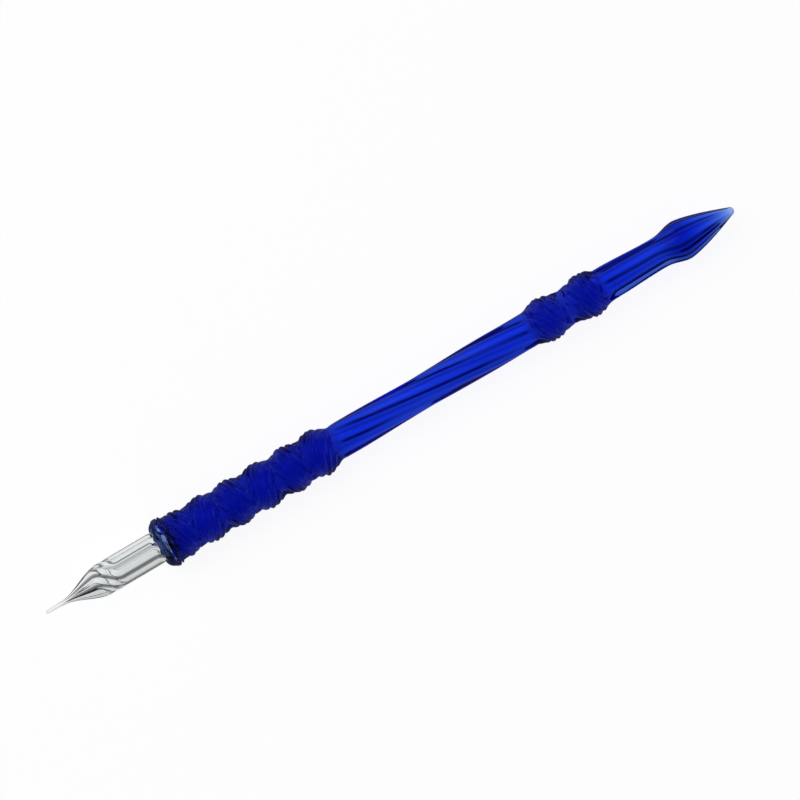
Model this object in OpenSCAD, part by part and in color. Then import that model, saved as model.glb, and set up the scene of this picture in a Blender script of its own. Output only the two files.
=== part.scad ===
// Lampworked glass dip pen, lying along X with the nib towards -X and its lowest point on Z = 0.
// Stations are distances along the pen from the needle tip, and are moved onto the axis by place().

/* [Pen] */
// Overall length from needle tip to tail tip
pen_length = 175; // [160:1:190]

/* [Nib] */
// Diameter of the needle behind its rounded tip
needle_d = 0.9; // [0.6:0.1:1.4]
// Diameter over the lobes of the nib's shank
nib_d = 7.4; // [6.5:0.1:8]
// Length of the slender needle
needle_length = 3.6; // [2:0.1:6]
// Station where the cone reaches the shank's full diameter
nib_shoulder = 15; // [13:0.5:18]
// Number of lobes, with an ink groove between each two
nib_lobes = 8; // [6:1:10]
// Depth of the ink grooves as a share of the radius
nib_groove = 0.13; // [0.05:0.01:0.3]
// How narrow the ink grooves are: 1 is a wave, more leaves broad round lobes
nib_groove_power = 2; // [1:0.1:3]
// Turn that was given to the hot glass behind the cone
nib_turn = 62; // [0:1:90]
// Angle of the first lobe's crest on the shank, from straight up
nib_crest_angle = 52; // [0:1:90]
// Diameter of the hidden root inside the collar and the holder
root_d = 4.6; // [3:0.1:4.8]
// Depth of the root's blind socket in the holder
root_depth = 2; // [1:0.5:9]

/* [Weld collar] */
// Station of the collar's front face
collar_front = 28.8; // [26:0.1:29.5]
// Station of the weld between collar and holder
weld_station = 31; // [30.5:0.1:31.5]
// Largest diameter of the flared collar
collar_d = 11.8; // [11:0.1:13]

/* [Holder] */
// Diameter over the bulges of the grip, the pen's stated shaft diameter
grip_d = 11; // [9:0.1:12]
// Diameter at the necks between the bulges
grip_neck_d = 9.5; // [8:0.1:10]
// Number of bulges in the grip
bulges = 6; // [4:2:6]
// Distance from one bulge to the next
bulge_pitch = 7.12; // [6:0.01:7.2]
// Station of the first bulge's crest
first_crest = 33.8; // [33.5:0.1:34.5]
// Turn of the flutes across one bulge, which the next bulge turns back
bulge_turn = 195; // [0:5:200]
// Diameter where the barrel leaves the grip
barrel_front_d = 8.2; // [7:0.1:9]
// Diameter at the barrel's slimmest place
barrel_waist_d = 7.6; // [6:0.1:8]
// Diameter where the barrel meets the double knot
barrel_rear_d = 8.1; // [7:0.1:9]
// Slow turn of the flutes along the barrel
barrel_turn = 95; // [0:5:180]
// Diameter over the two knots
knot_d = 10.4; // [9:0.1:12]
// Diameter of the neck between the two knots
knot_neck_d = 8.3; // [7:0.1:9]
// Turn of the flutes across one knot
knot_turn = 150; // [0:10:180]
// Further turn of the flutes along the whole double knot
knot_pair_turn = 143; // [0:1:150]
// Diameter of the tail's waist
tail_waist_d = 7.4; // [6:0.1:8]
// Diameter of the tail's last swelling
tail_bulge_d = 9.3; // [8:0.1:11]
// Diameter of the rounded tail tip
tail_tip_d = 2; // [1:0.1:3]

/* [Flutes] */
// Number of flutes round the holder
flutes = 8; // [6:1:10]
// Depth of the flutes in the grip and the knots, as a share of the radius
grip_flute = 0.08; // [0.02:0.005:0.15]
// Depth of the flutes along the barrel and the tail, as a share of the radius
barrel_flute = 0.08; // [0.02:0.01:0.2]
// Turn of the flutes where they leave the weld
flute_start = -21; // [-45:1:45]

/* [Resolution] */
// Distance between sections where the flutes turn fast
fine_step = 0.55; // [0.4:0.05:1]
// Distance between sections where the flutes run nearly straight
coarse_step = 3.4; // [1:0.1:5]

/* [Hidden] */

// The quick turn behind the nib's cone, and the small bend where the shank sinks into the collar
swirl_start = nib_shoulder - 2.6;
swirl_end = nib_shoulder + 4;
bend_start = collar_front - 1.6;
bend_turn = 25;
nib_points = 8;

// The collar's crest, just before the seam, and the notch of the seam
collar_crest = weld_station - 0.35;
seam_notch = 0.5;

// Stations of the holder's landmarks, in order along the pen
grip_start = first_crest - bulge_pitch / 2;
grip_end = grip_start + bulges * bulge_pitch;
barrel_front = grip_end + 0.8;
barrel_waist = barrel_front + 20;
barrel_rear = 122.5;
knot_crests = [127.2, 137.7];
knot_neck = 132.5;
knot_half = 4;
tail_front = 142.3;
tail_waist = 156.3;
tail_bulge = 161.8;
tail_turn = 15;
tail_taper = 1.35;
tip_start = pen_length - tail_tip_d / 2;
flute_fade = 6;
flute_points = 4;
// How sharply the grip's flutes turn back: 1 would be a corner
swing_sharpness = 0.97;

// Share of the way from one station to another, held at 0 before it and at 1 behind it
function share(s, from, to) = min(max((s - from) / (to - from), 0), 1);
// Value that eases in and out from 0 to the given height between two stations
function step_between(s, from, to, height) = height * (1 - cos(180 * share(s, from, to))) / 2;

// Diameter at a station, eased from each [station, diameter] pair to the next
function outline_leg(s, pairs, i = 0) =
    i >= len(pairs) - 2 || s < pairs[i + 1][0] ? i : outline_leg(s, pairs, i + 1);
function outline_d(s, pairs) =
    let (i = outline_leg(s, pairs), a = pairs[i], b = pairs[i + 1])
    a[1] + step_between(s, a[0], b[0], b[1] - a[1]);

// Stations from one place to just before another, at an even step close to the one asked for
function stations(from, to, step) =
    let (count = max(1, round((to - from) / step)))
    [for (i = [0 : count - 1]) from + (to - from) * i / count];

// One closed section of lobed glass: crest radius r, valleys of the given depth and power, at a station
function section(s, r, lobes, depth, power, angle, points) = [
    for (i = [0 : lobes * points - 1])
        let (valley = (1 - cos(360 * i / points)) / 2,
             a = 360 * i / (lobes * points) + angle,
             reach = r * (1 - depth * pow(valley, power)))
        [s, -reach * sin(a), reach * cos(a)]
];

// Closed skin over a row of sections that all have the same number of points
module skin(sections) {
    n = len(sections[0]);
    rows = len(sections);
    points = [
        for (row = sections) each row,
        [sections[0][0][0], 0, 0],
        [sections[rows - 1][0][0], 0, 0]
    ];
    front_centre = n * rows;
    rear_centre = n * rows + 1;
    walls = [
        for (row = [0 : rows - 2], i = [0 : n - 1])
            let (a = row * n + i, b = row * n + (i + 1) % n)
            each [[a, a + n, b + n], [a, b + n, b]]
    ];
    front_cap = [for (i = [0 : n - 1]) [front_centre, i, (i + 1) % n]];
    rear_cap = [
        for (i = [0 : n - 1])
            let (a = (rows - 1) * n)
            [rear_centre, a + (i + 1) % n, a + i]
    ];
    polyhedron(points = points, faces = concat(walls, front_cap, rear_cap), convexity = 10);
}

// Puts geometry that is built along the stations onto the pen's axis
module place() {
    translate([-pen_length / 2, 0, collar_d / 2])
        children();
}

// Rod along the stations
module rod(from, to, d) {
    translate([from, 0, 0])
        rotate([0, 90, 0])
            cylinder(h = to - from, d = d, $fn = 48);
}

// Clear nib: needle, grooved cone, quick turn, straight grooved shank and round hidden root
nib_outline = [
    [0, needle_d * 0.5],
    [0.8, needle_d],
    [needle_length, needle_d * 1.15],
    [nib_shoulder, nib_d],
    [collar_front, nib_d]
];
function nib_angle(s) =
    nib_crest_angle - nib_turn
    + step_between(s, swirl_start, swirl_end, nib_turn)
    + step_between(s, bend_start, collar_front + 1.2, bend_turn);
function groove_depth(s) = step_between(s, needle_length * 0.7, needle_length * 1.7, nib_groove);

module nib() {
    color("lightcyan", 0.6)
        place() {
            skin([
                for (s = concat(
                        stations(0, needle_length, 1.2),
                        stations(needle_length, swirl_start, 1.2),
                        stations(swirl_start, swirl_end, fine_step),
                        stations(swirl_end, bend_start, coarse_step),
                        stations(bend_start, collar_front, fine_step),
                        [collar_front]))
                    section(s, outline_d(s, nib_outline) / 2, nib_lobes,
                            groove_depth(s), nib_groove_power, nib_angle(s), nib_points)
            ]);
            rod(collar_front, weld_station + root_depth, root_d);
        }
}

// Weld collar: glass melted round the root, with a round front and a narrow notch at the seam
module weld_collar() {
    throat_r = nib_d / 2 + 0.1;
    crest_r = collar_d / 2;
    front_round = [
        for (a = [0 : 10 : 90])
            [throat_r + (crest_r - throat_r) * sin(a),
             collar_crest - (collar_crest - collar_front) * cos(a)]
    ];
    color("lightsteelblue", 0.8)
        place()
            rotate([0, 90, 0])
                difference() {
                    rotate_extrude($fn = 64)
                        polygon(concat(
                            [[0, collar_front]],
                            front_round,
                            [[crest_r - seam_notch, weld_station], [0, weld_station]]));
                    translate([0, 0, collar_front - 1])
                        cylinder(h = weld_station - collar_front + 2, d = root_d, $fn = 48);
                }
}

// Holder: one fluted cane with grip, barrel, double knot and pointed tail
holder_outline = concat(
    [
        [weld_station - 0.2, grip_d * 0.95],
        [weld_station + 0.4, grip_d * 1.05],
        [weld_station + 1.6, grip_d * 0.97]
    ],
    [for (k = [0 : bulges - 1])
        each [
            [first_crest + k * bulge_pitch, grip_d],
            if (k < bulges - 1) [first_crest + (k + 0.5) * bulge_pitch, grip_neck_d]
        ]],
    [
        [barrel_front, barrel_front_d],
        [barrel_waist, barrel_waist_d],
        [barrel_rear - 5, barrel_rear_d],
        [barrel_rear, barrel_rear_d],
        [knot_crests[0], knot_d],
        [knot_neck, knot_neck_d],
        [knot_crests[1], knot_d],
        [tail_front, tail_waist_d + 1],
        [tail_waist, tail_waist_d],
        [tail_bulge, tail_bulge_d]
    ]);
function tail_point_d(s) =
    tail_bulge_d - (tail_bulge_d - tail_tip_d) * pow(share(s, tail_bulge, tip_start), tail_taper);
function tip_round(s) = sqrt(1 - 0.97 * pow(share(s, tip_start, pen_length), 2));
function holder_d(s) = s < tail_bulge ? outline_d(s, holder_outline) : tail_point_d(s) * tip_round(s);

// Angle of the flutes at a station: to and fro in the grip, then always onwards
function grip_swing(s) =
    let (inside = min(max(s, grip_start), grip_end) - grip_start)
    asin(swing_sharpness * cos(180 * inside / bulge_pitch)) / asin(swing_sharpness);
function knot_angle(s) =
    step_between(s, barrel_rear + 1.5, tail_front - 1, knot_pair_turn)
    + step_between(s, knot_crests[0] - knot_half, knot_crests[0] + knot_half, knot_turn)
    + step_between(s, knot_crests[1] - knot_half, knot_crests[1] + knot_half, knot_turn);
function flute_angle(s) =
    flute_start
    + bulge_turn / 2 * (1 - grip_swing(s))
    + barrel_turn * share(s, grip_end, barrel_rear)
    + knot_angle(s)
    + step_between(s, tail_waist - 2, tail_bulge, tail_turn);

// Depth of the flutes at a station: shallow where the flutes turn fast, deep where they run on
function flute_depth(s) =
    let (deeper = barrel_flute - grip_flute,
         depth = grip_flute
             + step_between(s, grip_end - 1, barrel_front + 3, deeper)
             - step_between(s, barrel_rear - 2, barrel_rear + 2, deeper)
             + step_between(s, tail_front - 2, tail_front + 2, deeper))
    depth - step_between(s, pen_length - flute_fade, pen_length, depth);

module holder() {
    color("mediumblue", 0.9)
        place()
            difference() {
                skin([
                    for (s = concat(
                            stations(weld_station, grip_end, fine_step),
                            stations(grip_end, barrel_front, 0.4),
                            stations(barrel_front, barrel_rear, coarse_step),
                            stations(barrel_rear, tail_front, fine_step),
                            stations(tail_front, tail_waist, coarse_step),
                            stations(tail_waist, tip_start, coarse_step / 2),
                            stations(tip_start, pen_length, 0.25),
                            [pen_length]))
                        section(s, holder_d(s) / 2, flutes, flute_depth(s), 1, flute_angle(s), flute_points)
                ]);
                rod(weld_station - 1, weld_station + root_depth, root_d);
            }
}

nib();
weld_collar();
holder();
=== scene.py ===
"""Looks of a lampworked glass dip pen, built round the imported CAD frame.

Lengths are in millimetres and turns in degrees until to_frame puts a point into the frame.
A station is a distance along the pen from the needle tip.
"""
import math

import bpy
import numpy as np
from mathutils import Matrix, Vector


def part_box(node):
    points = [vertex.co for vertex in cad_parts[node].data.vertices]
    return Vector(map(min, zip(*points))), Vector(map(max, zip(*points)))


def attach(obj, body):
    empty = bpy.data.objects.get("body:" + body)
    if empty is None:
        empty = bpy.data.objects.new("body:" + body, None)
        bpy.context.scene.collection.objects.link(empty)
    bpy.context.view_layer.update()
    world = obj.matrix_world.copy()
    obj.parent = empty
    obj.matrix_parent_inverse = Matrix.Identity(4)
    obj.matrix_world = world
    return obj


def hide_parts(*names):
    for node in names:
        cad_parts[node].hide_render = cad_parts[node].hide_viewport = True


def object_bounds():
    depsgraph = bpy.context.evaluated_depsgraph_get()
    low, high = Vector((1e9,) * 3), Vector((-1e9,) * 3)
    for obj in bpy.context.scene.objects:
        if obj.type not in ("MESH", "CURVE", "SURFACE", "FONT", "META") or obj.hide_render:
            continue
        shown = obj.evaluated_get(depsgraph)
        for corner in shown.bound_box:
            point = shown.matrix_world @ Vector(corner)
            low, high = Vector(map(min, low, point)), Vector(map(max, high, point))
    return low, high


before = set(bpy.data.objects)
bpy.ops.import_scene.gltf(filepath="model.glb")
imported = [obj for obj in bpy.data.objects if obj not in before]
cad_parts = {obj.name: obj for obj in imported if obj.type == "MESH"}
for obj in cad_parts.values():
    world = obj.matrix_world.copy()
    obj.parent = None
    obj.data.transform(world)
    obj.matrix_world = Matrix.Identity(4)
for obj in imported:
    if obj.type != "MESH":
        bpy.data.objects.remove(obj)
cad_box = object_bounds()

MM = 0.001

# ---- places taken from the frame -------------------------------------------------------------
NIB_LOW, NIB_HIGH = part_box("nib")
COLLAR_LOW, COLLAR_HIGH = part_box("weld_collar")
HOLDER_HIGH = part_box("holder")[1]
TIP_X = NIB_LOW.x
AXIS_Z = (COLLAR_LOW.z + COLLAR_HIGH.z) / 2
LENGTH = (HOLDER_HIGH.x - TIP_X) / MM
WELD = (COLLAR_HIGH.x - TIP_X) / MM
COLLAR_FRONT = (COLLAR_LOW.x - TIP_X) / MM
COLLAR_R = (COLLAR_HIGH.z - COLLAR_LOW.z) / 2 / MM
NIB_R = (NIB_HIGH.z - NIB_LOW.z) / 2 / MM

# ---- nib -------------------------------------------------------------------------------------
NEEDLE_R = (0.4, 0.5)  # at the needle's tip and where it starts to widen
NEEDLE_TIP = 0.4
NEEDLE_BALL = 0.45
NEEDLE_END = 3.6
NIB_SHOULDER = 15.0
NIB_LOBES = 8
POINTS_PER_LOBE = 20
NIB_GROOVE = 0.1  # depth, as a share of the radius
NIB_GROOVE_POWER = 2.0
NIB_CREASE = 0.03
NIB_CREASE_POWER = 9
# Dark line painted as shade along the nib's valleys, on one side only
NIB_LINE_WIDTH = 2.4
NIB_LINE_POWER = 4
NIB_CREST = 52  # angle of a lobe's crest along the shank
NIB_TURN = 62
TURN_FRONT, TURN_REAR = NIB_SHOULDER - 2.6, NIB_SHOULDER + 4
LAST_TURN = 25
LAST_TURN_FRONT, LAST_TURN_REAR = 27.2, 30
ROOT_R = 2.3
ROOT_END = WELD + 2.0
SHANK_END = COLLAR_FRONT + 0.5
SHANK_ROUNDING = 0.6

# ---- weld collar -----------------------------------------------------------------------------
COLLAR_POINTS = 144
OVERLAP = 0.02  # so that no gap shows between two pieces of glass
SEAM_WAVES = ((4, 0.24, 0.6), (7, 0.12, 2.0))  # waves round the pen, height, start
SEAM_REACH = 1.5
COLLAR_CREST = 0.45  # from the seam to the widest place
COLLAR_THROAT = 0.12  # gap between the nib and the rounded front
COLLAR_LUMPS = 0.16
COLLAR_UNEVEN = 0.06
TONGUE = 0.35
TONGUE_ANGLE = 20
# Painted shade on the collar, darker towards -Y, with uneven patches: strength, sharpness of its edge,
# unevenness
COLLAR_SHADE = 0.95
COLLAR_SHADE_EDGE = 1.1
COLLAR_SHADE_UNEVEN = 0.25
# Painted highlight: a pale line in front of the seam where the collar's painted shade is left out
SEAM_HIGHLIGHT = (0.1, 0.15)  # the pale line's distance in front of the seam, and its half width

# ---- holder ----------------------------------------------------------------------------------
LIP = ((-0.5, 4.6), (0.45, 5.8), (1.7, 5.3))  # distance behind the weld, radius
BULGES = 6
PITCH = 7.12
FIRST_CREST = 33.8
GRIP_START = FIRST_CREST - PITCH / 2
GRIP_END = GRIP_START + BULGES * PITCH
CRESTS = (5.5, 5.5, 5.55, 5.55, 5.55, 5.5)
NECKS = (4.85, 4.8, 4.65, 4.6, 4.75)
BARREL_FRONT, BARREL_FRONT_R = GRIP_END + 0.8, 4.1
BARREL_WAIST, BARREL_WAIST_R = BARREL_FRONT + 20, 3.8
BARREL_REAR, BARREL_REAR_R = 122.5, 4.05
BARREL_LEVEL = 5  # length in front of the barrel's rear end that keeps its radius
KNOTS = (127.2, 137.7)
KNOT_R = (5.15, 5.25)
KNOT_NECK_R = 4.15
KNOT_REACH = 4
TAIL_FRONT, TAIL_FRONT_R = 142.3, 4.2
TAIL_WAIST, TAIL_WAIST_R = 156.3, 3.7
TAIL_BULGE, TAIL_BULGE_R = 161.8, 4.65
TAIL_TIP_R = 1.0
TAPER_POWER = 1.35

# Turn of the flutes across a bulge, along the barrel, across a knot, along both knots and the tail
FLUTES = 8
POINTS_PER_FLUTE = 14
FLUTE_START = -21
BULGE_TURN = 195
SWING_SHARPNESS = 0.97
BARREL_TURN = 95
KNOT_TURN = 150
KNOT_PAIR_TURN = 143
TAIL_TURN = 15

# Flutes as (depth as a share of the radius, power that narrows them)
GRIP_FLUTE = (0.075, 1.1)
BARREL_FLUTE = (0.05, 1.0)
KNOT_FLUTE = (0.08, 1.1)
TAIL_FLUTE = (0.06, 1.0)
FLUTE_SKEW = 0.6  # how much closer the mesh's points stand in the valleys
TIP_FADE = 6  # length over which the flutes and their lines fade out at the tail's tip

# The upper side is the one that shows, so its flutes and creases are the strongest
FRONT_SPREAD = 0.9
BACK_DEPTH = 0.3  # depth of the back's flutes, as a share of the front's
BACK_CREASE = 0.6  # how early the creases end towards the sides of the barrel
CREASE = 0.03
CREASE_POWER = 3
SIDE_FLUTE = 0.2  # low on the near side of the tail
SIDE_FROM, SIDE_RISE = 0.3, 0.35  # sine of the angle where the deep flutes start, and their easing
SIDE_FALL = 0.5  # share of it that is lost at the tail's bulge

# Unevenness of hand-drawn glass: turns in degrees, heights in millimetres
GRIP_WANDER = 2.5
CANE_WANDER = 1.5
GRIP_UNEVEN = 0.05

# Painted shade: darkness of the dark lines painted along the valleys, from 0 to 1, and of the painted shade
# over the tail's bulge and at the necks
LINE_POWER = 3
LINE_WIDTH = 1.3
SECOND_LINE = 17  # angle from the middle of a flute to its weaker line
SECOND_LINE_POWER = 5
SECOND_LINE_TINT = 0.8
LINE_STRENGTH = 0.9
LINE_UNEVEN = 0.35
FAINTEST_LINE = (0.6, 0.95)  # on the barrel, on the tail
BACK_TINT = 0.05
TAIL_PAINTED_SHADE, TAIL_PAINTED_SHADE_REACH = 0.42, 4
NECK_PAINTED_SHADE, NECK_PAINTED_SHADE_REACH = 0.2, 1.6

# ---- glass and studio ------------------------------------------------------------------------
# Share of red, green and blue lost in each millimetre, and the colour of the reflections
COBALT = ((0.66, 0.435, 0.034), (0.3, 0.35, 1.0))
GATHER = ((0.42, 0.32, 0.12), (0.5, 0.6, 1.0))
CLEAR = ((0.024, 0.019, 0.019), (1.0, 1.0, 1.0))
GLASS_IOR = 1.5
GLASS_SPECULAR = 0.3
GLASS_POLISH = 0.02

# Noise as (waves per millimetre, stretch of x, y and z, detail)
STREAKS = (0.9, (0.12, 1, 1), 3)
PATCHES = (0.35, (1, 1, 1), 2)
WAVINESS = (1.3, (0.4, 1, 1), 3)
WAVINESS_STRENGTH = 0.12
WAVINESS_DEPTH = 0.05

# Light table, room, lamp and camera, in metres where a name doesn't end in MM
TABLE_SEEN = 0.91
TABLE_THROUGH = ((0.0, 0.41), (0.305, 0.91), (0.4, 0.91), (0.725, 0.7))  # place across, brightness
TABLE_MIRRORED = 0.08
TABLE_HALF = 2.0
TABLE_GAP = 0.0001
ROOM = 0.08
ROOM_THROUGH = 0.45
KEY_PLACE = (-0.4, 0.5, 0.9)
KEY_SIZE = 0.8
KEY_POWER = 1.2

PEN_TILT = math.radians(30.43)
PICTURE_MM = 175.7
PICTURE_SHIFT_MM = (2.2, 2.4)
CAMERA_HEIGHT = 1.0
SENSOR_MM = 36


# ---- helpers ---------------------------------------------------------------------------------
def eased(t):
    """Share of a step that is done at t, easing in and out like a half cosine."""
    return (1 - np.cos(np.pi * np.clip(t, 0, 1))) / 2


def step(s, start, end, height):
    return height * eased((s - start) / (end - start))


def hump(s, middle, half_width):
    return np.exp(-((s - middle) / half_width) ** 2)


def along(s, marks):
    """Value at stations s, eased from each (station, value) mark to the next."""
    value = np.full(np.shape(s), float(marks[0][1]))
    for (s0, v0), (s1, v1) in zip(marks, marks[1:]):
        value += step(s, s0, s1, v1 - v0)
    return value


def rounded(radius, reach):
    """Radius that closes like a ball, as reach goes from 0 to 1."""
    return radius * np.sqrt(np.clip(1 - reach ** 2, 1e-6, 1))


def valleys(phase, count):
    """1 in the middle of each valley and 0 on the crests between them, round the pen."""
    return (1 - np.cos(count * phase)) / 2


def ripple(s, angle, seed, wavelength):
    """Smooth and repeatable unevenness over the whole skin, about 1 high."""
    rng = np.random.default_rng(seed)
    total = 0
    for k in range(8):
        around = rng.integers(1, 6)
        wave = wavelength * rng.uniform(0.6, 2.0) * rng.choice([-1, 1])
        total = total + np.sin(around * angle + 2 * np.pi * (s / wave + rng.uniform()))
    return total / 2


def stations(*legs):
    """Stations over (start, end, spacing) legs that follow one another."""
    rows = [np.linspace(a, b, max(2, int(round((b - a) / gap)) + 1))[:-1] for a, b, gap in legs]
    return np.concatenate(rows + [[legs[-1][1]]])


def to_frame(s, radius, angle):
    """Points at stations s, radius and angle from straight up, turning towards -Y."""
    x = TIP_X + s * MM
    y = -radius * np.sin(angle) * MM
    z = AXIS_Z + radius * np.cos(angle) * MM
    return np.stack(np.broadcast_arrays(x, y, z), -1)


def skin(name, rings, looped=False):
    """Smooth closed mesh over rows of rings. Open ends are closed by a point in the middle."""
    rows, n = rings.shape[:2]
    points = rings.reshape(-1, 3)
    i = np.arange(n)
    j = (i + 1) % n
    faces = []
    for r in range(rows if looped else rows - 1):
        a, b = r * n, ((r + 1) % rows) * n
        faces += np.stack([a + i, a + j, b + j, b + i], -1).tolist()
    if not looped:
        points = np.vstack([points, rings[0].mean(0), rings[-1].mean(0)])
        first, last = rows * n, rows * n + 1
        faces += np.stack([np.full(n, first), j, i], -1).tolist()
        a = (rows - 1) * n
        faces += np.stack([np.full(n, last), a + i, a + j], -1).tolist()
    mesh = bpy.data.meshes.new(name)
    mesh.from_pydata(points.tolist(), [], faces)
    mesh.validate()
    mesh.shade_smooth()
    piece = bpy.data.objects.new(name, mesh)
    bpy.context.scene.collection.objects.link(piece)
    return piece


def mark(piece, name, blocks):
    """Stores one number for each point of the rings, for the material to read."""
    values = np.concatenate([block.ravel() for block in blocks])
    values = np.concatenate([values, np.zeros(len(piece.data.vertices) - len(values))])
    layer = piece.data.attributes.new(name, "FLOAT", "POINT")
    layer.data.foreach_set("value", values.astype(np.float32))


# ---- holder ----------------------------------------------------------------------------------
def holder_radius(s):
    """Radius of the cane without its flutes."""
    grip = []
    for k, crest in enumerate(CRESTS):
        grip.append((FIRST_CREST + k * PITCH, crest))
        if k < len(NECKS):
            grip.append((FIRST_CREST + (k + 0.5) * PITCH, NECKS[k]))
    lip = [(WELD + behind, radius) for behind, radius in LIP]
    rest = [
        (BARREL_FRONT, BARREL_FRONT_R),
        (BARREL_WAIST, BARREL_WAIST_R),
        (BARREL_REAR - BARREL_LEVEL, BARREL_REAR_R),
        (BARREL_REAR, BARREL_REAR_R),
        (KNOTS[0], KNOT_R[0]),
        ((KNOTS[0] + KNOTS[1]) / 2, KNOT_NECK_R),
        (KNOTS[1], KNOT_R[1]),
        (TAIL_FRONT, TAIL_FRONT_R),
        (TAIL_WAIST, TAIL_WAIST_R),
        (TAIL_BULGE, TAIL_BULGE_R),
    ]
    radius = along(s, lip + grip + rest)
    tip = LENGTH - TAIL_TIP_R
    taper = np.clip((s - TAIL_BULGE) / (tip - TAIL_BULGE), 0, 1)
    radius = radius - (TAIL_BULGE_R - TAIL_TIP_R) * taper ** TAPER_POWER
    return rounded(radius, np.clip((s - tip) / TAIL_TIP_R, 0, 1))


def holder_turn(s):
    """How far the flutes have turned at stations s. In the grip they turn back at each neck."""
    inside = np.clip(s, GRIP_START, GRIP_END) - GRIP_START
    swing = np.arcsin(SWING_SHARPNESS * np.cos(np.pi * inside / PITCH)) / np.arcsin(SWING_SHARPNESS)
    turn = FLUTE_START + BULGE_TURN / 2 * (1 - swing)
    turn = turn + BARREL_TURN * np.clip((s - GRIP_END) / (BARREL_REAR - GRIP_END), 0, 1)
    turn = turn + step(s, BARREL_REAR + 1.5, TAIL_FRONT - 1, KNOT_PAIR_TURN)
    for crest in KNOTS:
        turn = turn + step(s, crest - KNOT_REACH, crest + KNOT_REACH, KNOT_TURN)
    return turn + step(s, TAIL_WAIST - 2, TAIL_BULGE, TAIL_TURN)


def grip_share(s):
    """1 in the grip and the knots, 0 along the barrel and the tail."""
    return along(s, [(GRIP_END, 1), (BARREL_FRONT + 2, 0), (BARREL_REAR - 1, 0),
                     (BARREL_REAR + 2, 1), (TAIL_FRONT - 2, 1), (TAIL_FRONT + 1, 0)])


def tail_share(s):
    """1 along the tail, 0 in front of it."""
    return step(s, TAIL_FRONT - 2, TAIL_FRONT + 2, 1)


def front_share(angle):
    """1 on the upper side, 0 on the underside."""
    return eased(0.5 + FRONT_SPREAD * np.cos(angle))


def flute_profile(s):
    """Depth of the flutes, and the power that narrows them, at stations s."""
    places = [
        (GRIP_END - 1, GRIP_FLUTE),
        (BARREL_FRONT + 3, BARREL_FLUTE),
        (BARREL_REAR - 2, BARREL_FLUTE),
        (BARREL_REAR + 2, KNOT_FLUTE),
        (TAIL_FRONT - 2, KNOT_FLUTE),
        (TAIL_FRONT + 2, TAIL_FLUTE),
    ]
    return [along(s, [(place, flute[k]) for place, flute in places]) for k in (0, 1)]


def holder_angle(s, phase):
    """Angle of each point of the skin, with the flutes' turn and the wander of hand-drawn cane."""
    rough = grip_share(s)
    wander = GRIP_WANDER * rough * ripple(s, phase, seed=11, wavelength=9.0)
    wander = wander + CANE_WANDER * ripple(s, phase, seed=13, wavelength=60.0)
    return phase + np.radians(holder_turn(s) + wander)


def fluted_radius(s, phase, angle):
    """Radius of the cane with its flutes, creases and unevenness."""
    rough, tail, front = grip_share(s), tail_share(s), front_share(angle)
    valley = valleys(phase, FLUTES)
    depth, power = flute_profile(s)
    depth = depth * (rough + (1 - rough) * (BACK_DEPTH + (1 - BACK_DEPTH) * front))
    side = eased((np.sin(angle) - SIDE_FROM) / SIDE_RISE) * tail
    side = side * (1 - step(s, TAIL_WAIST, TAIL_BULGE, SIDE_FALL))
    depth = depth + (SIDE_FLUTE - depth) * side
    shown = np.maximum(tail, np.clip(front - BACK_CREASE * (1 - front), 0, 1))
    crease_and_painted_shade = CREASE * valley ** CREASE_POWER * (1 - rough) * shown
    fade = eased((LENGTH - s) / TIP_FADE)
    radius = holder_radius(s) * (1 - fade * (depth * valley ** power + crease_and_painted_shade))
    return radius + GRIP_UNEVEN * rough * ripple(s, angle, seed=12, wavelength=3.0)


def holder_painted_shade(s, phase, angle):
    """Painted shade on the glass: dark lines along the valleys, strongest on the upper side, and painted
    shade at the necks and over the tail's bulge.
    """
    rough, tail = grip_share(s), tail_share(s)
    first = np.minimum(1, LINE_WIDTH * valleys(phase, FLUTES) ** LINE_POWER)
    second = valleys(phase - math.radians(SECOND_LINE), FLUTES) ** SECOND_LINE_POWER
    lines = np.maximum(first, SECOND_LINE_TINT * second)
    strength = LINE_STRENGTH + LINE_UNEVEN * ripple(s, phase, seed=21, wavelength=40.0)
    strength = np.clip(strength, FAINTEST_LINE[0] + (FAINTEST_LINE[1] - FAINTEST_LINE[0]) * tail, 1)
    strength = strength * eased((LENGTH - s) / TIP_FADE) * (1 - rough)
    tint = strength * (BACK_TINT + (1 - BACK_TINT) * front_share(angle)) * lines
    # painted shade over the tail's bulge
    tint = np.maximum(tint, TAIL_PAINTED_SHADE * hump(s, TAIL_BULGE - 1, TAIL_PAINTED_SHADE_REACH))
    # painted shade at each neck between the grip's bulges
    for k in range(len(NECKS)):
        neck = FIRST_CREST + (k + 0.5) * PITCH
        tint = np.maximum(tint, NECK_PAINTED_SHADE * hump(s, neck, NECK_PAINTED_SHADE_REACH))
    return tint


def seam_wave(angle):
    """How far the weld's seam wanders along the pen, round the pen."""
    return sum(height * np.cos(waves * angle + start) for waves, height, start in SEAM_WAVES)


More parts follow.
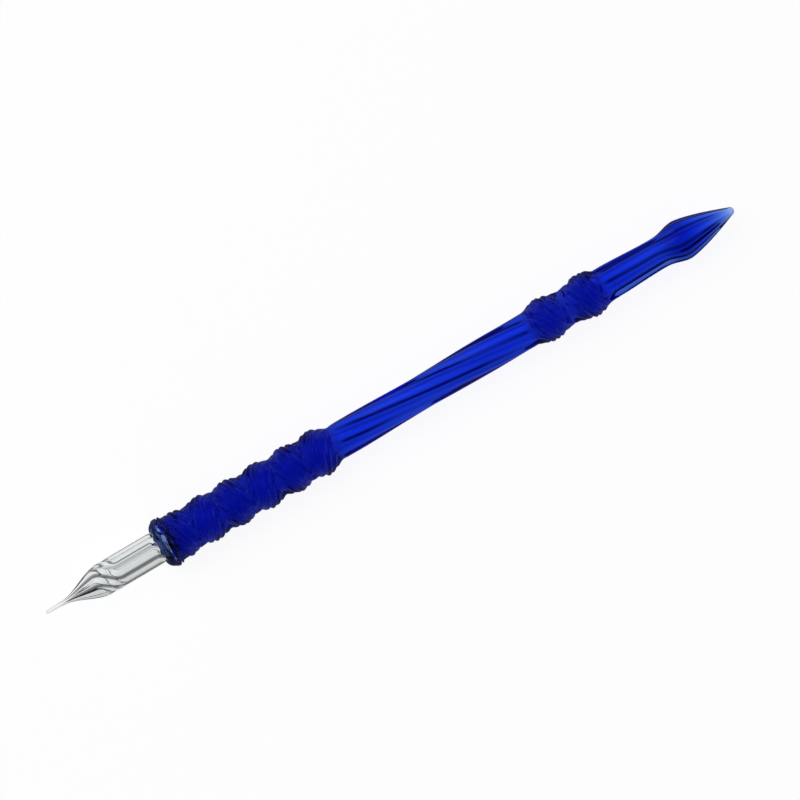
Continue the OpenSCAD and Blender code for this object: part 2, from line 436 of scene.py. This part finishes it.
def build_holder():
    """The cane's skin, closed at its front by a blind socket for the nib's root."""
    s = stations((WELD, BARREL_FRONT, 0.1), (BARREL_FRONT, BARREL_REAR, 0.5), (BARREL_REAR, TAIL_FRONT, 0.1),
                 (TAIL_FRONT, LENGTH - 2, 0.4), (LENGTH - 2, LENGTH - 0.02, 0.1))
    even = np.linspace(0, 2 * np.pi, FLUTES * POINTS_PER_FLUTE, endpoint=False)
    phase = even + FLUTE_SKEW / FLUTES * np.sin(FLUTES * even)
    s = s[:, None] + 0 * phase
    angle = holder_angle(s, phase)
    wave = seam_wave(angle) * np.exp(-(s - WELD) / SEAM_REACH)
    body = to_frame(s + wave, fluted_radius(s, phase, angle), angle)
    bore = ROOT_R - OVERLAP
    socket_s = np.array([ROOT_END, ROOT_END, WELD, WELD])
    socket_r = np.array([0.8, bore, bore, bore + 1.0])
    socket = to_frame(socket_s[:, None], socket_r[:, None], angle[0][None, :])
    holder = skin("holder_glass", np.concatenate([socket, body]))
    # painted shade for the cobalt glass: valley lines, necks and the tail's bulge
    mark(holder, "crease_and_painted_shade", [np.zeros_like(socket[..., 0]), holder_painted_shade(s, phase, angle)])
    mark(holder, "rough", [np.ones_like(socket[..., 0]), grip_share(s)])
    return holder


# ---- weld collar -----------------------------------------------------------------------------
def spline(points, steps):
    """Closed Catmull-Rom curve through the points."""
    p = np.array(points, float)
    out = []
    for k in range(len(p)):
        p0, p1, p2, p3 = p[k - 1], p[k], p[(k + 1) % len(p)], p[(k + 2) % len(p)]
        for t in np.linspace(0, 1, steps, endpoint=False):
            out.append(0.5 * (2 * p1 + (p2 - p0) * t + (2 * p0 - 5 * p1 + 4 * p2 - p3) * t ** 2
                              + (3 * p1 - p0 - 3 * p2 + p3) * t ** 3))
    return np.array(out)


def collar_outline():
    """Half section of the ring as stations and radii: bore, throat, rounded front and notched seam."""
    front, back, r = COLLAR_FRONT, WELD + OVERLAP, COLLAR_R
    inner, throat, crest = ROOT_R - OVERLAP, NIB_R + COLLAR_THROAT, back - COLLAR_CREST
    bore = [(back, inner), (front + 1.2, inner), (front + 1.05, inner + 0.6), (front + 0.5, NIB_R - 0.15)]
    bulge = [(crest - (crest - front) * math.cos(a), throat + (r - throat) * math.sin(a))
             for a in np.radians((0, 22, 44, 66, 90))]
    seam = [(back - 0.12, r - 0.16), (back, r - 0.45), (back, r - 1.0), (back, r - 1.8)]
    outline = spline(bore + bulge + seam, 6)
    return outline[:, 0][:, None], outline[:, 1][:, None]


def build_collar():
    """Ring of melted glass: rounded front with tongues over the nib, and a lip at the weld's seam."""
    back, inner = WELD + OVERLAP, ROOT_R - OVERLAP
    s, radius = collar_outline()
    angle = np.linspace(0, 2 * np.pi, COLLAR_POINTS, endpoint=False)
    outer = np.clip((radius - NIB_R) / (COLLAR_R - NIB_R), 0, 1)
    rear = np.clip((s - COLLAR_FRONT) / (back - COLLAR_FRONT), 0, 1)
    lobes = np.clip(np.cos(NIB_LOBES * (angle - math.radians(TONGUE_ANGLE))), 0, 1)[None, :]
    tongues = -TONGUE * lobes * (1 - rear) * np.clip((radius - inner) / (NIB_R - inner), 0, 1)
    wave = seam_wave(angle)[None, :] * rear * outer + tongues
    lumps = COLLAR_LUMPS * outer * (1 - rear) * np.cos(4 * angle + 2.2)
    lumps = lumps + COLLAR_UNEVEN * outer * ripple(s, angle, seed=31, wavelength=2.0)
    collar = skin("weld_collar_glass", to_frame(s + wave, radius + lumps, angle[None, :]), looped=True)
    # painted shade: darker on the collar's -Y side, in uneven patches
    patches = COLLAR_SHADE_UNEVEN * ripple(s, angle, seed=32, wavelength=4.0)
    side_shade = COLLAR_SHADE * eased(0.5 + COLLAR_SHADE_EDGE * np.sin(angle) + patches)
    # painted highlight: the painted shade is left out in a band in front of the seam
    mark(collar, "crease_and_painted_shade", [side_shade * (1 - hump(s, back - SEAM_HIGHLIGHT[0], SEAM_HIGHLIGHT[1])) * outer])
    return collar


# ---- nib -------------------------------------------------------------------------------------
def nib_radius(s):
    radius = along(s, [(NEEDLE_TIP, NEEDLE_R[0]), (NEEDLE_END, NEEDLE_R[1]), (NIB_SHOULDER, NIB_R)])
    return rounded(radius, np.clip((NEEDLE_BALL - s) / NEEDLE_BALL, 0, 1))


def build_nib():
    """Lobed rod drawn to a needle, with a plain round root that the collar and the holder hide."""
    twist_end = NIB_SHOULDER + 6
    s = stations((0.01, 0.6, 0.06), (0.6, NEEDLE_END, 0.2), (NEEDLE_END, NIB_SHOULDER - 2, 0.15),
                 (NIB_SHOULDER - 2, twist_end, 0.08), (twist_end, SHANK_END, 0.4),
                 (SHANK_END, SHANK_END + 0.55, 0.05))
    phase = np.linspace(0, 2 * np.pi, NIB_LOBES * POINTS_PER_LOBE, endpoint=False)
    s = s[:, None] + 0 * phase
    valley = valleys(phase, NIB_LOBES)
    depth = eased((s - NEEDLE_END * 0.7) / NEEDLE_END)
    groove = NIB_GROOVE * valley ** NIB_GROOVE_POWER + NIB_CREASE * valley ** NIB_CREASE_POWER
    lobed = nib_radius(s) * (1 - depth * groove)
    rounding = np.clip((s - SHANK_END) / SHANK_ROUNDING, 0, 1)
    radius = ROOT_R + (lobed - ROOT_R) * np.sqrt(1 - rounding ** 2)
    turn = step(s, TURN_FRONT, TURN_REAR, NIB_TURN) + step(s, LAST_TURN_FRONT, LAST_TURN_REAR, LAST_TURN)
    angle = phase + np.radians(NIB_CREST - NIB_TURN + turn)
    root_s = np.array([SHANK_END + 0.62, ROOT_END - 0.3, ROOT_END - 0.1, ROOT_END + OVERLAP])
    root_r = np.array([ROOT_R, ROOT_R, ROOT_R - 0.1, ROOT_R - 0.4])
    root = to_frame(root_s[:, None], root_r[:, None], angle[-1][None, :])
    nib = skin("nib_glass", np.concatenate([to_frame(s, radius, angle), root]))
    # painted shade: a dark line along the valleys on one side of the shank
    one_side = ((1 + np.cos(phase)) / 2) ** 2
    line = np.minimum(1, NIB_LINE_WIDTH * valley ** NIB_LINE_POWER)
    mark(nib, "crease_and_painted_shade", [one_side * line * depth, np.zeros_like(root[..., 0])])
    return nib


# ---- materials -------------------------------------------------------------------------------
def attribute(tree, name):
    node = tree.nodes.new("ShaderNodeAttribute")
    node.attribute_name = name
    return node.outputs["Fac"]


def mix(tree, kind, factor, a, b):
    """Mixes two values or links by a factor that is a value or a link."""
    node = tree.nodes.new("ShaderNodeMix")
    node.data_type = kind
    base = {"FLOAT": 2, "RGBA": 6}[kind]
    for socket, value in ((node.inputs[0], factor), (node.inputs[base], a), (node.inputs[base + 1], b)):
        if isinstance(value, bpy.types.NodeSocket):
            tree.links.new(value, socket)
        else:
            socket.default_value = value
    return node.outputs[{"FLOAT": 0, "RGBA": 2}[kind]]


def maths(tree, operation, *values, clamp=False):
    """Maths node on values or links."""
    node = tree.nodes.new("ShaderNodeMath")
    node.operation = operation
    node.use_clamp = clamp
    for socket, value in zip(node.inputs, values):
        if isinstance(value, bpy.types.NodeSocket):
            tree.links.new(value, socket)
        else:
            socket.default_value = value
    return node.outputs[0]


def noise(tree, scale, stretch, detail):
    """Noise in the pen's own space, in waves per millimetre."""
    place = tree.nodes.new("ShaderNodeTexCoord")
    mapping = tree.nodes.new("ShaderNodeMapping")
    mapping.inputs["Scale"].default_value = [scale * k / MM for k in stretch]
    texture = tree.nodes.new("ShaderNodeTexNoise")
    texture.inputs["Scale"].default_value = 1
    texture.inputs["Detail"].default_value = detail
    tree.links.new(place.outputs["Object"], mapping.inputs["Vector"])
    tree.links.new(mapping.outputs["Vector"], texture.inputs["Vector"])
    return texture.outputs["Fac"]


def glass(name, absorb, shine):
    """Fire-polished glass that swallows the given share of red, green and blue per millimetre."""
    material = bpy.data.materials.new(name)
    material.use_nodes = True
    nodes, links = material.node_tree.nodes, material.node_tree.links
    surface = nodes["Principled BSDF"]
    surface.inputs["Base Color"].default_value = (1, 1, 1, 1)
    surface.inputs["Transmission Weight"].default_value = 1
    surface.inputs["IOR"].default_value = GLASS_IOR
    surface.inputs["Roughness"].default_value = GLASS_POLISH
    surface.inputs["Specular IOR Level"].default_value = GLASS_SPECULAR
    surface.inputs["Specular Tint"].default_value = (*shine, 1)
    strongest = max(absorb)
    volume = nodes.new("ShaderNodeVolumeAbsorption")
    volume.inputs["Color"].default_value = [1 - a / strongest for a in absorb] + [1]
    volume.inputs["Density"].default_value = strongest / MM
    links.new(volume.outputs["Volume"], nodes["Material Output"].inputs["Volume"])
    return material


def detail_glass(material, tint, painted_shade_tint, rough_tint, smooth, rough):
    """Striae, faint waviness and uneven polish over the glass, with painted shade mixed in where a piece
    marks it.

    smooth and rough are the roughness of the polished glass and of the worked grip.
    """
    tree = material.node_tree
    surface = tree.nodes["Principled BSDF"]
    colour = mix(tree, "RGBA", noise(tree, *STREAKS), (*tint, 1), (1, 1, 1, 1))
    colour = mix(tree, "RGBA", attribute(tree, "rough"), colour, (*rough_tint, 1))
    # painted shade: darkens the base colour as far as the piece's mark says
    colour = mix(tree, "RGBA", attribute(tree, "crease_and_painted_shade"), colour, (*painted_shade_tint, 1))
    tree.links.new(colour, surface.inputs["Base Color"])
    polish = mix(tree, "FLOAT", noise(tree, *PATCHES), smooth * 0.5, smooth * 1.5)
    polish = mix(tree, "FLOAT", attribute(tree, "rough"), polish, rough)
    tree.links.new(polish, surface.inputs["Roughness"])
    bump = tree.nodes.new("ShaderNodeBump")
    bump.inputs["Strength"].default_value = WAVINESS_STRENGTH
    bump.inputs["Distance"].default_value = WAVINESS_DEPTH * MM
    tree.links.new(noise(tree, *WAVINESS), bump.inputs["Height"])
    tree.links.new(bump.outputs["Normal"], surface.inputs["Normal"])


def dress(piece, material, node):
    piece.data.materials.append(material)
    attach(piece, "root")
    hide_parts(node)


holder = build_holder()
collar = build_collar()
nib = build_nib()
cobalt = glass("cobalt_glass", *COBALT)
gather = glass("gather_glass", *GATHER)
clear = glass("clear_glass", *CLEAR)
# Each glass gets a striae colour, a painted shade colour and the worked grip's colour.
detail_glass(cobalt, (0.9, 0.9, 1.0), (0.0, 0.002, 0.04), (0.9, 0.47, 0.53), smooth=0.03, rough=0.21)
detail_glass(gather, (0.75, 0.8, 0.9), (0.05, 0.05, 0.1), (0.6, 0.6, 0.7), smooth=0.05, rough=0.2)
detail_glass(clear, (0.92, 0.92, 0.93), (0.0, 0.0, 0.0), (0.9, 0.9, 0.9), smooth=0.02, rough=0.1)
dress(holder, cobalt, "holder")
dress(collar, gather, "weld_collar")
dress(nib, clear, "nib")


# ---- floor, light and camera -----------------------------------------------------------------
def table_glow(tree):
    """Brightness of the light table: even to the camera, uneven through glass, dim in reflections."""
    geometry = tree.nodes.new("ShaderNodeNewGeometry")
    split = tree.nodes.new("ShaderNodeSeparateXYZ")
    tree.links.new(geometry.outputs["Incoming"], split.inputs["Vector"])
    across = tree.nodes.new("ShaderNodeValToRGB")
    tree.links.new(maths(tree, "MULTIPLY_ADD", split.outputs["Y"], -0.5, 0.5), across.inputs[0])
    ramp = across.color_ramp
    ramp.interpolation = "EASE"
    ramp.elements.remove(ramp.elements[1])
    for k, (place, value) in enumerate(TABLE_THROUGH):
        stop = ramp.elements[0] if k == 0 else ramp.elements.new(place)
        stop.position, stop.color = place, (value, value, value, 1)
    path = tree.nodes.new("ShaderNodeLightPath")
    glow = mix(tree, "FLOAT", path.outputs["Is Camera Ray"], across.outputs["Color"], TABLE_SEEN)
    mirrored = maths(tree, "SUBTRACT", path.outputs["Is Glossy Ray"], path.outputs["Is Transmission Ray"],
                     clamp=True)
    return mix(tree, "FLOAT", mirrored, glow, TABLE_MIRRORED)


def build_floor():
    half = TABLE_HALF
    corners = [(-half, -half, 0), (half, -half, 0), (half, half, 0), (-half, half, 0)]
    mesh = bpy.data.meshes.new("floor")
    mesh.from_pydata(corners, [], [(0, 1, 2, 3)])
    floor = bpy.data.objects.new("floor", mesh)
    bpy.context.scene.collection.objects.link(floor)
    floor.location.z = cad_box[0].z - TABLE_GAP
    material = bpy.data.materials.new("floor")
    material.use_nodes = True
    tree = material.node_tree
    surface = tree.nodes["Principled BSDF"]
    surface.inputs["Base Color"].default_value = (0.5, 0.5, 0.51, 1)
    surface.inputs["Roughness"].default_value = 0.9
    surface.inputs["Specular IOR Level"].default_value = 0.0
    surface.inputs["Emission Color"].default_value = (1, 1, 1, 1)
    tree.links.new(table_glow(tree), surface.inputs["Emission Strength"])
    mesh.materials.append(material)


def build_key_light():
    light = bpy.data.lights.new("key_light", "AREA")
    light.size = KEY_SIZE
    light.energy = KEY_POWER
    lamp = bpy.data.objects.new("key_light", light)
    bpy.context.scene.collection.objects.link(lamp)
    lamp.location = KEY_PLACE
    lamp.rotation_euler = (-lamp.location).to_track_quat("-Z", "Y").to_euler()


def build_world():
    """Dim room above the table. It looks brighter through the glass than in its reflections."""
    world = bpy.data.worlds.new("studio")
    world.use_nodes = True
    tree = world.node_tree
    background = tree.nodes["Background"]
    background.inputs["Color"].default_value = (1, 1, 1, 1)
    path = tree.nodes.new("ShaderNodeLightPath")
    level = mix(tree, "FLOAT", path.outputs["Is Transmission Ray"], ROOM, ROOM_THROUGH)
    tree.links.new(level, background.inputs["Strength"])
    bpy.context.scene.world = world


def build_camera():
    """Long view straight down on the table, turned so that the nib points to the lower left."""
    camera = bpy.data.cameras.new("camera")
    camera.sensor_width = SENSOR_MM
    camera.lens = SENSOR_MM * CAMERA_HEIGHT / (PICTURE_MM * MM)
    camera.clip_start = 0.01
    camera.clip_end = 10
    viewer = bpy.data.objects.new("camera", camera)
    bpy.context.scene.collection.objects.link(viewer)
    middle = TIP_X + LENGTH * MM / 2
    right = (math.cos(PEN_TILT), -math.sin(PEN_TILT))
    up = (math.sin(PEN_TILT), math.cos(PEN_TILT))
    dx, dy = PICTURE_SHIFT_MM[0] * MM, PICTURE_SHIFT_MM[1] * MM
    x = middle + dx * right[0] + dy * up[0]
    y = dx * right[1] + dy * up[1]
    viewer.location = (x, y, AXIS_Z + CAMERA_HEIGHT)
    viewer.rotation_euler = (0, 0, -PEN_TILT)
    bpy.context.scene.camera = viewer


build_floor()
build_world()
build_key_light()
build_camera()
bpy.context.scene.view_settings.view_transform = "Standard"
